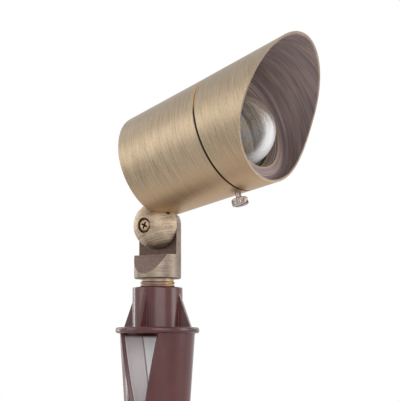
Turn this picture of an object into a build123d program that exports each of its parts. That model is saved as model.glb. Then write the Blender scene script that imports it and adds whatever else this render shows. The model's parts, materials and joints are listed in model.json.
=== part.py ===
"""Garden spike spotlight: a hooded, tilting lamp head on a two-part knuckle, screwed into a ground stake.

Frame: +Z up, +X the way the lamp head aims, origin on the stake's axis at the ground line,
which is the underside of the stake's flange. All sizes are in millimetres.
Head sizes are stations along the head's own axis, counted from the foot of the tilt pivot.
"""
from build123d import *
from math import atan, cos, degrees, radians, sin, sqrt, tan
import os

# ---------------------------------------------------------------- driving sizes
# heights and attitude
HUB_HEIGHT = 24.2            # stake hub above the flange
FLANGE_THICKNESS = 3.6
THREAD_SHOWN = 5.2           # male thread left standing out of the hub
PIVOT_ABOVE_POST_FOOT = 31.8
BALL_RISE = 0.7              # centre of the knuckle's ball above the tilt pivot
HEAD_TILT = 15.5             # degrees, head axis above the horizontal
HEAD_AXIS_OFFSET = 36.6      # head axis to the tilt pivot

# named clearances
RUNNING_CLEARANCE = 0.05     # turning and sliding fits, on the radius
FACE_GAP = 0.10              # between the two knuckle faces
SWING_CLEARANCE = 0.6        # between the swinging housing and the knuckle post
TIP_GAP = 0.25               # thumb screw backed off its seat

# ground stake
HUB_RADIUS = 15.2
FLANGE_RADIUS = 25.4
SPIKE_TOP_RADIUS = 22.8
SPIKE_TAPER = 0.068          # radius lost per millimetre of depth
SPIKE_LENGTH = 200.0
POINT_LENGTH = 34.0
POINT_RADIUS = 1.0
SPIKE_WALL = 2.8
SPIKE_HOLLOW_DEPTH = 150.0
WINDOW_HALF_WIDTH = 12.9     # cable window, at the flange
WINDOW_DEPTH = 60.0
WINDOW_ROOT_RADIUS = 1.5
WINDOW_BEVEL = 1.9
CABLE_BORE_RADIUS = 8.0
GUSSET_THICKNESS = 2.2
GUSSET_REACH = 23.0          # radius of a gusset's foot
GUSSET_HEIGHT = 20.0
GUSSET_TURN = 7.6            # degrees between the gussets and the head's aim
GUSSET_COUNT = 4
FLANGE_EDGE_ROUND = 1.4
FLANGE_RECESS = 0.5          # shallow step in the flange's underside, inside the spike's top
HUB_EDGE_ROUND = 0.9
PARTING_LINE_WIDTH = 0.5
PARTING_LINE_DEPTH = 0.4
PARTING_LINE_OFFSET = 18.1   # from the spike's middle plane, at the flange
PARTING_LINE_SLOPE = 0.108

# half-inch pipe thread
THREAD_RADIUS = 10.6
THREAD_DEPTH = 0.85
THREAD_PITCH = 1.81
THREAD_ENGAGED = 14.5
THREAD_SEAT_GAP = 1.0

# knuckle
POST_RADIUS = 14.3
POST_BORE_RADIUS = 5.0
POST_BORE_ROOF = 3.0
LEDGE_BELOW_PIVOT = 17.5
RELIEF_START = 6.9           # slanted relief of the ledge, from the post's middle plane
RELIEF_DROP = 11.6
POST_FOOT_CHAMFER = 0.6
ARM_RADIUS = 14.6
NECK_RADIUS = 10.8
NECK_STATION = 3.9
CORE_RADIUS = 6.8            # what is left of the post's head where the housing swings
LEAD_CAVITY_RADIUS = 4.9
LEAD_CAVITY_DEPTH = 5.4
POST_LEAD_RADIUS = 2.2
POST_LEAD_OFFSET = 5.2
POST_LEAD_FOOT = 8.0         # overlap of the lead way with the post's bore
SEAL_INNER_RADIUS = 5.2
SEAL_OUTER_RADIUS = 6.5
SEAL_THICKNESS = 1.1

# pivot screw, washer and nut
PIVOT_SHANK_RADIUS = 2.5
PIVOT_HEAD_RADIUS = 4.0
PIVOT_HEAD_HEIGHT = 2.9
PIVOT_HEAD_ROUND = 1.3
PIVOT_RECESS_RADIUS = 4.75
PIVOT_RECESS_FLOOR = 10.6    # from the mating plane
CROSS_SLOT_LENGTH = 4.6
CROSS_SLOT_WIDTH = 1.15
CROSS_SLOT_DEPTH = 1.9
CROSS_SLOT_TURN = 24.0
NUT_ACROSS_FLATS = 8.0
NUT_THICKNESS = 3.2
NUT_POCKET_FLOOR = 8.8
PIVOT_WASHER_THICKNESS = 1.1
WASHER_SPLIT = 0.7
PIVOT_END_PAST_NUT = 0.4

# housing
REAR_STATION = 5.4
SEAM_STATION = 66.9
REAR_RADIUS = 32.4
HOUSING_TAPER = 0.060
HOUSING_WALL = 2.2
REAR_WALL = 2.0
REAR_EDGE_ROUND = 1.2
SEAM_GAP = 0.5
SEAM_CHAMFER = 0.35
SPIGOT_BORE_RADIUS = 33.0
SPIGOT_LENGTH = 16.9
SPIGOT_END_GAP = 0.6         # between the spigot's end and the foot of its bore

# shroud and lens
SHROUD_TAPER = 0.065
SHROUD_SEAM_STEP = 0.05      # the shroud's outside stands this much proud of the housing at the seam
SHROUD_WALL = 1.5
SHROUD_LENGTH = 66.0         # seam to the tip of the hood
CUT_STATION = 101.3          # where the slanted mouth crosses the head axis
CUT_ANGLE = 34.6             # degrees off square, in the upper half
CUT_CURVE_RADIUS = 120.0     # the lower half curls towards square
CUT_CURVE_START = 3.0        # height above the axis at which it starts
CUT_CURVE_TURN = 24.0        # degrees that it turns
SPIGOT_INNER_RADIUS = 29.0
RING_THREAD_RADIUS = 30.5
LENS_SEAT_RADIUS = 27.7
LENS_SEAT_FLOOR = 74.6       # station of the ledge that the gasket meets
LEDGE_THICKNESS = 1.1
LEDGE_RADIUS = 24.7
COLLAR_RADIUS = 26.6         # mouth of the grooved collar in the shroud's floor
FLOOR_STATION = 81.7
COLLAR_GROOVES = 4
COLLAR_GROOVE_DEPTH = 0.5
FLOOR_FILLET = 2.5
SEAL_RING_SECTION = 1.85
SEAL_RING_STATION = 54.0
SEAL_RING_SIDE_PLAY = 0.2
LENS_DOME_RADIUS = 22.3
LENS_DOME_CENTRE = 71.9
LENS_THICKNESS = 2.5
LENS_FLANGE_THICKNESS = 3.0
LENS_FLANGE_RADIUS = 27.4
GASKET_THICKNESS = 1.0
RING_THICKNESS = 3.0
RING_INNER_RADIUS = 25.7
RING_THREAD_RUNOUT = 2.0
RING_SLOT_WIDTH = 1.6
RING_SLOT_DEPTH = 1.4

# thumb screw
THUMB_STATION = 61.7
THUMB_SHANK_RADIUS = 1.75
THUMB_NECK_LENGTH = 3.7
THUMB_HEAD_RADIUS = 5.0
THUMB_HEAD_THICKNESS = 3.9
THUMB_CHAMFER = 0.5
THUMB_KNURLS = 30
THUMB_KNURL_DEPTH = 0.25
THUMB_SLOT_WIDTH = 1.1
THUMB_SLOT_DEPTH = 1.3

# lead way between arm and housing
LEAD_STATION = 11.6
LEAD_SIDE = 4.6              # to the screw's side of the mating plane
GROMMET_RADIUS = 2.6
GROMMET_FLANGE_RADIUS = 3.5
GROMMET_FLANGE_THICKNESS = 0.8
LEAD_RADIUS = 1.7

# lamp, socket and bracket
LAMP_FACE_STATION = 64.8
LAMP_RADIUS = 25.2
LAMP_RIM_THICKNESS = 2.6
LAMP_RIM_STEP = 1.2          # the rim stands this far out of the bowl
LAMP_RIM_WALL = 1.0
LAMP_GLASS_WALL = 1.3
LAMP_NECK_RADIUS = 9.0
LAMP_BODY_LENGTH = 33.0
LAMP_BASE_LENGTH = 9.3
LAMP_BASE_WIDTH = 15.6
LAMP_BASE_HEIGHT = 8.4
LAMP_BASE_ROUND = 1.2
LAMP_PLUG_LENGTH = 2.2
LAMP_COLLAR_LENGTH = 1.2
PIN_SPACING = 5.33
PIN_RADIUS = 0.75
PIN_LENGTH = 7.4
COVER_GLASS_THICKNESS = 1.2
CAPSULE_RADIUS = 4.6
CAPSULE_LENGTH = 15.0
CAPSULE_TOP_ROUND = 3.6
SOCKET_RADIUS = 9.6
SOCKET_LENGTH = 9.0
SOCKET_FACE_GAP = 0.3
SOCKET_CHAMFER = 0.6
CONTACT_WALL = 0.6
CONTACT_SINK = 0.6           # contact's mouth under the socket's face
CONTACT_TAIL_LENGTH = 4.6
CONTACT_TAIL_RADIUS = 0.7
BRACKET_LENGTH = 44.0
BRACKET_WIDTH = 17.0
BRACKET_THICKNESS = 1.2
BRACKET_WINDOW_RADIUS = 4.6
BRACKET_SCREW_SPACING = 34.0
BRACKET_SCREW_RADIUS = 1.5
BRACKET_SCREW_HEAD_RADIUS = 2.8
BRACKET_SCREW_HEAD = 1.8
BRACKET_SCREW_SLOT = 0.8
BRACKET_SCREW_LENGTH = 4.4
BOSS_RADIUS = 3.4
RIVET_SPACING = 13.2
RIVET_RADIUS = 1.1
RIVET_HEAD_RADIUS = 1.9
RIVET_HEAD = 0.9
RIVET_SINK = 2.4

# ---------------------------------------------------------------- worked-out places
THREAD_TOP = FLANGE_THICKNESS + HUB_HEIGHT + THREAD_SHOWN
PIVOT_Z = THREAD_TOP + PIVOT_ABOVE_POST_FOOT
HUB_TOP = FLANGE_THICKNESS + HUB_HEIGHT
THREAD_FOOT = HUB_TOP - THREAD_ENGAGED
LEDGE_Z = PIVOT_Z - LEDGE_BELOW_PIVOT
HOUSING_FRONT = SEAM_STATION - SEAM_GAP
SEAM_RADIUS = REAR_RADIUS + HOUSING_TAPER * (SEAM_STATION - REAR_STATION)
HOUSING_FLOOR = REAR_STATION + REAR_WALL
SPIGOT_END = SEAM_STATION - SPIGOT_LENGTH
SPIGOT_RADIUS = SPIGOT_BORE_RADIUS - RUNNING_CLEARANCE
HOOD_TIP = SEAM_STATION + SHROUD_LENGTH
LENS_FRONT = LENS_SEAT_FLOOR - GASKET_THICKNESS
LENS_BACK = LENS_FRONT - LENS_FLANGE_THICKNESS
LAMP_BODY_BACK = LAMP_FACE_STATION - LAMP_BODY_LENGTH
LAMP_BASE_BACK = LAMP_BODY_BACK - LAMP_BASE_LENGTH
SOCKET_FACE = LAMP_BASE_BACK - SOCKET_FACE_GAP
SOCKET_BACK = SOCKET_FACE - SOCKET_LENGTH
BRACKET_BACK = SOCKET_BACK - BRACKET_THICKNESS

HEAD = Plane(
    origin=(0, 0, PIVOT_Z),
    x_dir=(cos(radians(HEAD_TILT)), 0, sin(radians(HEAD_TILT))),
    z_dir=(-sin(radians(HEAD_TILT)), 0, cos(radians(HEAD_TILT))),
)


def outline(points):
    """A flat face in the XZ plane through the given (x, z) points."""
    return make_face(Plane.XZ * Polyline(*points, close=True))


def turned_on_x(points):
    """A solid turned about the X axis from (station, radius) points."""
    return revolve(outline(points), Axis.X, 360)


def turned_on_z(points):
    """A solid turned about the Z axis from (radius, height) points."""
    return revolve(outline(points), Axis.Z, 360)


def rod_x(radius, start, end, side=0.0, up=0.0):
    """A round bar along X from station to station."""
    return Pos((start + end) / 2, side, up) * Rot(0, 90, 0) * Cylinder(radius, end - start)


def rod_y(radius, start, end, along=0.0, up=0.0):
    """A round bar along Y."""
    return Pos(along, (start + end) / 2, up) * Rot(90, 0, 0) * Cylinder(radius, end - start)


def rod_z(radius, start, end, along=0.0, side=0.0):
    """A round bar along Z."""
    return Pos(along, side, (start + end) / 2) * Cylinder(radius, end - start)


def on_head_axis(shape):
    """Moves a shape modelled about X onto the lamp head's axis."""
    return HEAD.location * Pos(0, 0, HEAD_AXIS_OFFSET) * shape


def at_pivot(shape):
    """Moves a shape modelled in the head's directions to the tilt pivot."""
    return HEAD.location * shape


def housing_radius(station):
    """Outside radius of the housing."""
    return REAR_RADIUS + HOUSING_TAPER * (station - REAR_STATION)


def shroud_radius(station):
    """Outside radius of the shroud."""
    return SEAM_RADIUS + SHROUD_SEAM_STEP + SHROUD_TAPER * (station - SEAM_STATION)


def spike_radius(depth):
    """Outside radius of the spike at a depth under the flange."""
    return SPIKE_TOP_RADIUS - SPIKE_TAPER * depth


# ---------------------------------------------------------------- ground stake
def make_ground_stake():
    """One moulding: threaded hub, flange, gussets and the hollow spike with its two cable windows."""
    hub = rod_z(HUB_RADIUS, FLANGE_THICKNESS / 2, HUB_TOP)
    hub = fillet(hub.edges().group_by(Axis.Z)[-1], HUB_EDGE_ROUND)
    flange = rod_z(FLANGE_RADIUS, 0, FLANGE_THICKNESS)
    flange = fillet(flange.edges().filter_by(GeomType.CIRCLE), FLANGE_EDGE_ROUND)
    flange -= rod_z(SPIKE_TOP_RADIUS, 0, FLANGE_RECESS)
    shank_depth = SPIKE_LENGTH - POINT_LENGTH
    spike = turned_on_z([
        (0, FLANGE_RECESS), (SPIKE_TOP_RADIUS, FLANGE_RECESS), (SPIKE_TOP_RADIUS, 0),
        (spike_radius(shank_depth), -shank_depth), (POINT_RADIUS, -SPIKE_LENGTH), (0, -SPIKE_LENGTH),
    ])
    hollow_top = SPIKE_TOP_RADIUS - SPIKE_WALL
    hollow_foot = spike_radius(SPIKE_HOLLOW_DEPTH) - SPIKE_WALL
    spike -= turned_on_z([
        (0, FLANGE_RECESS), (hollow_top, FLANGE_RECESS), (hollow_top, 0),
        (hollow_foot, -SPIKE_HOLLOW_DEPTH), (0, -SPIKE_HOLLOW_DEPTH - hollow_foot),
    ])
    spike = cut_windows(spike)
    spike -= parting_lines()
    stake = hub + flange + spike
    for index in range(GUSSET_COUNT):
        stake += Rot(0, 0, GUSSET_TURN + index * 360 / GUSSET_COUNT) * gusset()
    stake -= rod_z(THREAD_RADIUS + RUNNING_CLEARANCE, THREAD_FOOT - THREAD_SEAT_GAP, HUB_TOP)
    stake -= rod_z(CABLE_BORE_RADIUS, -1, HUB_TOP)
    return stake


def cut_windows(spike):
    """Cuts the two tapering cable windows through the spike's wall and bevels their outer edges."""
    slope = WINDOW_HALF_WIDTH / WINDOW_DEPTH
    top = WINDOW_HALF_WIDTH + slope * FLANGE_RECESS
    window = outline([(-top, FLANGE_RECESS), (top, FLANGE_RECESS), (0, -WINDOW_DEPTH)])
    root = window.vertices().group_by(Axis.Z)[0]
    window = fillet(root, WINDOW_ROOT_RADIUS)
    spike -= extrude(window, SPIKE_TOP_RADIUS * 2, both=True)
    rims = spike.edges().filter_by(on_window_rim)
    return chamfer(rims, WINDOW_BEVEL)


def on_window_rim(edge):
    """True for the outer edges of the cable windows."""
    middle = edge @ 0.5
    outside = abs(sqrt(middle.X ** 2 + middle.Y ** 2) - spike_radius(max(-middle.Z, 0))) < 0.01
    at_window = -WINDOW_DEPTH < middle.Z < FLANGE_RECESS - 0.01 and abs(middle.X) < WINDOW_HALF_WIDTH
    return outside and at_window and abs(edge.tangent_at(0.5).Z) > 0.5


def parting_lines():
    """Two fine straight lines in the spike's inner face, left by the mould."""
    depth = WINDOW_DEPTH
    middle = PARTING_LINE_OFFSET - PARTING_LINE_SLOPE * depth / 2
    lean = degrees(atan(PARTING_LINE_SLOPE))
    slab = Box(PARTING_LINE_WIDTH, SPIKE_TOP_RADIUS, depth)
    slab = Pos(-middle, SPIKE_TOP_RADIUS / 2, -depth / 2 - FLANGE_EDGE_ROUND) * Rot(0, -lean, 0) * slab
    inner = SPIKE_TOP_RADIUS - SPIKE_WALL - SPIKE_WALL / 2
    outer = SPIKE_TOP_RADIUS - SPIKE_WALL + PARTING_LINE_DEPTH
    loss = SPIKE_TAPER * depth
    skin = turned_on_z([(inner, 0), (outer, 0), (outer - loss, -depth), (inner - loss, -depth)])
    line = slab & skin
    return line + Rot(0, 0, 180) * line


def gusset():
    """One triangular rib between the hub and the flange."""
    start = HUB_RADIUS - GUSSET_THICKNESS / 2
    root = FLANGE_THICKNESS / 2
    top = FLANGE_THICKNESS + GUSSET_HEIGHT
    face = outline([
        (start, root), (GUSSET_REACH, root), (GUSSET_REACH, FLANGE_THICKNESS),
        (HUB_RADIUS, top), (start, top),
    ])
    return extrude(face, GUSSET_THICKNESS / 2, both=True)


# ---------------------------------------------------------------- knuckle post
def make_knuckle_post():
    """Lower half of the knuckle with its male thread, lead way and nut pocket."""
    body = rod_z(POST_RADIUS, THREAD_TOP, LEDGE_Z)
    body = chamfer(body.edges().group_by(Axis.Z)[0], POST_FOOT_CHAMFER)
    reach = 2 * POST_RADIUS
    drop = RELIEF_DROP * (reach - RELIEF_START) / (POST_RADIUS - RELIEF_START)
    relief = make_face(Plane.YZ * Polyline(
        (-RELIEF_START, LEDGE_Z), (-reach, LEDGE_Z), (-reach, LEDGE_Z - drop), close=True,
    ))
    body -= extrude(relief, reach, both=True)
    ball_z = PIVOT_Z + BALL_RISE
    cheek = rod_z(POST_RADIUS, LEDGE_Z, ball_z) + Pos(0, 0, ball_z) * Sphere(POST_RADIUS)
    keep = Pos(0, FACE_GAP + reach / 2, PIVOT_Z) * Box(2 * reach, reach, 2 * reach)
    cheek = cheek & keep
    cheek -= rod_z(reach, LEDGE_Z - reach, LEDGE_Z)
    cheek -= swing_notch()
    post = body + cheek + male_thread()
    post -= rod_z(POST_BORE_RADIUS, THREAD_FOOT, LEDGE_Z - POST_BORE_ROOF)
    lead_foot = LEDGE_Z - POST_LEAD_FOOT
    post -= rod_z(POST_LEAD_RADIUS, lead_foot, PIVOT_Z - PIVOT_SHANK_RADIUS, side=POST_LEAD_OFFSET)
    post -= rod_y(LEAD_CAVITY_RADIUS, 0, LEAD_CAVITY_DEPTH, up=PIVOT_Z)
    post -= rod_y(PIVOT_SHANK_RADIUS + RUNNING_CLEARANCE, 0, POST_RADIUS, up=PIVOT_Z)
    pocket = extrude(nut_outline(RUNNING_CLEARANCE), POST_RADIUS)
    return post - Pos(0, NUT_POCKET_FLOOR, PIVOT_Z) * Rot(-90, 0, 0) * pocket


def swing_notch():
    """The room that the housing's rear corner sweeps through as the head is raised."""
    reach = 2 * POST_RADIUS
    bottom = HEAD_AXIS_OFFSET - housing_radius(POST_RADIUS)
    first = HEAD_TILT + degrees(atan(bottom / POST_RADIUS)) - degrees(SWING_CLEARANCE / POST_RADIUS)
    room = outline([
        (0, 0), (reach * cos(radians(first)), reach * sin(radians(first))),
        (reach, 2 * reach), (-reach, 2 * reach), (-reach, 0),
    ])
    room = extrude(room, 2 * POST_RADIUS, both=True)
    room -= rod_y(CORE_RADIUS, -3 * POST_RADIUS, 3 * POST_RADIUS)
    return Pos(0, 0, PIVOT_Z) * room


def male_thread():
    """Straight ridges at the thread's pitch, so that the post can turn in the hub."""
    root = THREAD_RADIUS - THREAD_DEPTH
    points = [(0, THREAD_TOP), (0, THREAD_FOOT), (root, THREAD_FOOT)]
    count = int((THREAD_TOP - THREAD_FOOT) / THREAD_PITCH)
    for index in range(count):
        foot = THREAD_FOOT + index * THREAD_PITCH
        points.append((root, foot + 0.1 * THREAD_PITCH))
        points.append((THREAD_RADIUS, foot + 0.45 * THREAD_PITCH))
        points.append((THREAD_RADIUS, foot + 0.6 * THREAD_PITCH))
        points.append((root, foot + 0.95 * THREAD_PITCH))
    points.append((root, THREAD_TOP))
    return turned_on_z(points)


def nut_outline(clearance=0.0):
    """Hexagon of the pivot nut."""
    return RegularPolygon(NUT_ACROSS_FLATS / 2 + clearance, 6, major_radius=False)


def make_pivot_nut():
    """Hexagon nut held in the post's pocket."""
    start = NUT_POCKET_FLOOR + PIVOT_WASHER_THICKNESS
    nut = Rot(-90, 0, 0) * extrude(nut_outline(), NUT_THICKNESS)
    nut -= rod_y(PIVOT_SHANK_RADIUS + RUNNING_CLEARANCE, -1, NUT_THICKNESS + 1)
    return Pos(0, start, PIVOT_Z) * nut


def make_pivot_washer():
    """Split spring washer under the nut."""
    washer = rod_y(NUT_ACROSS_FLATS / 2 - RUNNING_CLEARANCE, 0, PIVOT_WASHER_THICKNESS)
    washer -= rod_y(PIVOT_SHANK_RADIUS + 2 * RUNNING_CLEARANCE, -1, PIVOT_WASHER_THICKNESS + 1)
    split = Box(NUT_ACROSS_FLATS, 4 * PIVOT_WASHER_THICKNESS, WASHER_SPLIT)
    washer -= Pos(NUT_ACROSS_FLATS / 2, 0, 0) * split
    return Pos(0, NUT_POCKET_FLOOR, PIVOT_Z) * washer


def make_knuckle_seal():
    """Flat ring that keeps water out of the lead cavity between the knuckle's faces."""
    ring = rod_y(SEAL_OUTER_RADIUS, FACE_GAP - SEAL_THICKNESS, FACE_GAP)
    ring -= rod_y(SEAL_INNER_RADIUS, -SEAL_THICKNESS * 2, SEAL_THICKNESS)
    return Pos(0, 0, PIVOT_Z) * ring


def make_pivot_screw():
    """Pan head screw with a cross recess, through both knuckle halves."""
    tip = NUT_POCKET_FLOOR + PIVOT_WASHER_THICKNESS + NUT_THICKNESS + PIVOT_END_PAST_NUT
    top = PIVOT_RECESS_FLOOR + PIVOT_HEAD_HEIGHT
    head = rod_y(PIVOT_HEAD_RADIUS, -top, -PIVOT_RECESS_FLOOR)
    head = fillet(head.edges().group_by(Axis.Y)[0], PIVOT_HEAD_ROUND)
    screw = head + rod_y(PIVOT_SHANK_RADIUS, -PIVOT_RECESS_FLOOR, tip)
    for turn in (0, 90):
        slot = Box(CROSS_SLOT_LENGTH, 2 * CROSS_SLOT_DEPTH, CROSS_SLOT_WIDTH)
        screw -= Pos(0, -top, 0) * Rot(0, CROSS_SLOT_TURN + turn, 0) * slot
    return Pos(0, 0, PIVOT_Z) * screw


# ---------------------------------------------------------------- knuckle arm
def housing_envelope():
    """The housing's outside as a full solid, about X."""
    body = turned_on_x([
        (REAR_STATION, 0), (REAR_STATION, REAR_RADIUS),
        (HOUSING_FRONT, housing_radius(HOUSING_FRONT)), (HOUSING_FRONT, 0),
    ])
    body = fillet(body.edges().group_by(Axis.X)[0], REAR_EDGE_ROUND)
    return chamfer(body.edges().group_by(Axis.X)[-1], SEAM_CHAMFER)


def make_knuckle_arm():
    """Upper half of the knuckle: a half ball with a neck that is saddled to the housing."""
    reach = 3 * ARM_RADIUS
    neck = rod_z(NECK_RADIUS, 0, HEAD_AXIS_OFFSET / 2, along=NECK_STATION)
    neck = neck & (Pos(REAR_STATION + reach / 2, 0, 0) * Box(reach, reach, reach))
    arm = Pos(0, 0, BALL_RISE) * Sphere(ARM_RADIUS) + neck
    arm = arm & (Pos(0, -reach / 2, 0) * Box(reach, reach, reach))
    arm -= Pos(0, 0, HEAD_AXIS_OFFSET) * housing_envelope()
    arm -= rod_y(PIVOT_RECESS_RADIUS, -reach, -PIVOT_RECESS_FLOOR)
    arm -= rod_y(PIVOT_SHANK_RADIUS + RUNNING_CLEARANCE, -reach, 0)
    arm -= rod_y(LEAD_CAVITY_RADIUS, -LEAD_CAVITY_DEPTH, 0)
    arm -= rod_y(SEAL_OUTER_RADIUS + RUNNING_CLEARANCE, FACE_GAP - SEAL_THICKNESS, 0)
    drop = sqrt(housing_radius(LEAD_STATION) ** 2 - LEAD_SIDE ** 2)
    start = Vector(LEAD_STATION, -LEAD_SIDE, HEAD_AXIS_OFFSET - drop)
    end = Vector(LEAD_CAVITY_RADIUS / 2, -LEAD_CAVITY_DEPTH / 2, 0)
    way = end - start
    plane = Plane(origin=start - way * 0.3, z_dir=way.normalized())
    arm -= plane.location * extrude(Circle(LEAD_RADIUS), way.length * 1.3)
    return at_pivot(biggest(arm))


def biggest(shape):
    """The largest solid of a shape, without the slivers that a cut can leave."""
    return max(shape.solids(), key=lambda solid: solid.volume)


# ---------------------------------------------------------------- housing
def make_housing():
    """Tapered cup with a bored mouth for the shroud's spigot and two bosses for the lamp bracket."""
    bore_start = SPIGOT_END - SPIGOT_END_GAP
    bore_lead = bore_start - SEAM_CHAMFER - SPIGOT_END_GAP
    hollow = turned_on_x([
        (HOUSING_FLOOR, 0), (HOUSING_FLOOR, housing_radius(HOUSING_FLOOR) - HOUSING_WALL),
        (bore_lead, housing_radius(bore_lead) - HOUSING_WALL), (bore_start, SPIGOT_BORE_RADIUS),
        (HOUSING_FRONT + 1, SPIGOT_BORE_RADIUS), (HOUSING_FRONT + 1, 0),
    ])
    housing = housing_envelope() - hollow
    for side in (-1, 1):
        offset = side * BRACKET_SCREW_SPACING / 2
        housing += rod_x(BOSS_RADIUS, HOUSING_FLOOR, BRACKET_BACK, side=offset)
        hole_foot = BRACKET_BACK - BRACKET_SCREW_LENGTH
        housing -= rod_x(BRACKET_SCREW_RADIUS, hole_foot, BRACKET_BACK, side=offset)
    outside = -2 * REAR_RADIUS
    housing -= rod_z(THUMB_SHANK_RADIUS + RUNNING_CLEARANCE, outside, 0, along=THUMB_STATION)
    housing -= rod_z(GROMMET_RADIUS, outside, -REAR_RADIUS / 2, along=LEAD_STATION, side=-LEAD_SIDE)
    return on_head_axis(housing)


def make_lead_grommet():
    """Rubber bush that the leads pass through, between the arm and the housing."""
    inner = housing_radius(LEAD_STATION) - HOUSING_WALL
    seat = -sqrt(inner ** 2 - (LEAD_SIDE + GROMMET_FLANGE_RADIUS) ** 2)
    sleeve = rod_z(GROMMET_RADIUS, -housing_radius(LEAD_STATION), seat)
    flange = rod_z(GROMMET_FLANGE_RADIUS, -inner, seat + GROMMET_FLANGE_THICKNESS)
    bore = rod_z(LEAD_RADIUS, -2 * REAR_RADIUS, 0)
    place = Pos(LEAD_STATION, -LEAD_SIDE, 0)
    bush = (place * sleeve & housing_cone(0)) + (place * flange & housing_cone(HOUSING_WALL))
    return on_head_axis(bush - place * bore)


def housing_cone(inset):
    """The cone of the housing's outside around the lead way, drawn in by an inset."""
    end = 2 * LEAD_STATION
    return turned_on_x([
        (0, 0), (0, housing_radius(0) - inset), (end, housing_radius(end) - inset), (end, 0),
    ])


def make_lamp_bracket():
    """Flat steel strip across the two bosses, with a window for the contacts."""
    strip = Box(BRACKET_THICKNESS, BRACKET_LENGTH, BRACKET_WIDTH)
    strip = Pos((BRACKET_BACK + SOCKET_BACK) / 2, 0, 0) * strip
    strip = fillet(strip.edges().filter_by(Axis.X), BRACKET_WIDTH / 4)
    ends = (BRACKET_BACK - 1, SOCKET_BACK + 1)
    strip -= rod_x(BRACKET_WINDOW_RADIUS, *ends)
    for side in (-1, 1):
        strip -= rod_x(BRACKET_SCREW_RADIUS, *ends, side=side * BRACKET_SCREW_SPACING / 2)
        strip -= rod_x(RIVET_RADIUS, *ends, up=side * RIVET_SPACING / 2)
    return on_head_axis(strip)


def make_bracket_screws():
    """Two screws that hold the bracket to the housing's bosses."""
    screws = []
    for side in (-1, 1):
        offset = side * BRACKET_SCREW_SPACING / 2
        top = SOCKET_BACK + BRACKET_SCREW_HEAD
        tip = BRACKET_BACK - BRACKET_SCREW_LENGTH + TIP_GAP
        head = rod_x(BRACKET_SCREW_HEAD_RADIUS, SOCKET_BACK, top, side=offset)
        shank = rod_x(BRACKET_SCREW_RADIUS, tip, SOCKET_BACK, side=offset)
        slot = Box(BRACKET_SCREW_HEAD, 4 * BRACKET_SCREW_HEAD_RADIUS, BRACKET_SCREW_SLOT)
        slot = Pos(top, offset, 0) * slot
        screws.append(on_head_axis(head + shank - slot))
    return Compound(children=screws)


def make_lamp_socket():
    """Ceramic two-pin socket."""
    socket = rod_x(SOCKET_RADIUS, SOCKET_BACK, SOCKET_FACE)
    socket = chamfer(socket.edges().group_by(Axis.X)[-1], SOCKET_CHAMFER)
    for side in (-1, 1):
        up = side * RIVET_SPACING / 2
        socket -= rod_x(PIN_RADIUS + CONTACT_WALL, SOCKET_BACK, SOCKET_FACE, side=side * PIN_SPACING / 2)
        socket -= rod_x(RIVET_RADIUS, SOCKET_BACK, SOCKET_FACE, up=up)
        socket -= rod_x(RIVET_HEAD_RADIUS, SOCKET_FACE - RIVET_SINK, SOCKET_FACE + 1, up=up)
    return on_head_axis(socket)


def make_socket_rivets():
    """Two rivets through the socket and the bracket."""
    rivets = []
    for side in (-1, 1):
        up = side * RIVET_SPACING / 2
        sink = SOCKET_FACE - RIVET_SINK
        rivet = rod_x(RIVET_RADIUS, BRACKET_BACK - RIVET_HEAD, sink, up=up)
        rivet += rod_x(RIVET_HEAD_RADIUS, sink, sink + RIVET_HEAD, up=up)
        rivet += rod_x(RIVET_HEAD_RADIUS, BRACKET_BACK - RIVET_HEAD, BRACKET_BACK, up=up)
        rivets.append(on_head_axis(rivet))
    return Compound(children=rivets)


def make_socket_contacts():
    """Two sleeves that grip the lamp's pins, with solder tails."""
    contacts = []
    front = SOCKET_FACE - CONTACT_SINK
    floor = LAMP_BASE_BACK - PIN_LENGTH - SOCKET_FACE_GAP
    tail = floor - CONTACT_WALL
    for side in (-1, 1):
        offset = side * PIN_SPACING / 2
        contact = rod_x(PIN_RADIUS + CONTACT_WALL, tail, front, side=offset)
        contact -= rod_x(PIN_RADIUS + RUNNING_CLEARANCE, floor, front + 1, side=offset)
        contact += rod_x(CONTACT_TAIL_RADIUS, tail - CONTACT_TAIL_LENGTH, tail, side=offset)
        contacts.append(on_head_axis(contact))
    return Compound(children=contacts)


# ---------------------------------------------------------------- lamp
def lamp_wall_radius(share):
    """Outside radius of the reflector at a share of its length from the neck, a parabola."""
    return LAMP_NECK_RADIUS + (LAMP_RADIUS - LAMP_RIM_STEP - LAMP_NECK_RADIUS) * sqrt(share)


def make_lamp_reflector():
    """Glass reflector with a thicker front rim."""
    bowl_end = LAMP_FACE_STATION - LAMP_RIM_THICKNESS
    length = bowl_end - LAMP_BODY_BACK
    shares = [0, 0.03, 0.12, 0.28, 0.5, 0.75, 1]
    outer = [(LAMP_BODY_BACK + length * share, lamp_wall_radius(share)) for share in shares]
    inner = [(x + LAMP_GLASS_WALL * 0.8, r - LAMP_GLASS_WALL) for x, r in outer]
    glass_back = LAMP_FACE_STATION - COVER_GLASS_THICKNESS
    seat_radius = LAMP_RADIUS - LAMP_RIM_WALL
    profile = outer + [
        (bowl_end, LAMP_RADIUS), (LAMP_FACE_STATION, LAMP_RADIUS), (LAMP_FACE_STATION, seat_radius),
        (glass_back, seat_radius), (glass_back, inner[-1][1]),
    ] + inner[::-1]
    return on_head_axis(turned_on_x(profile))


def make_lamp_cover_glass():
    """Flat glass cemented into the reflector's rim."""
    glass = rod_x(LAMP_RADIUS - LAMP_RIM_WALL, LAMP_FACE_STATION - COVER_GLASS_THICKNESS, LAMP_FACE_STATION)
    return on_head_axis(glass)


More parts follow.
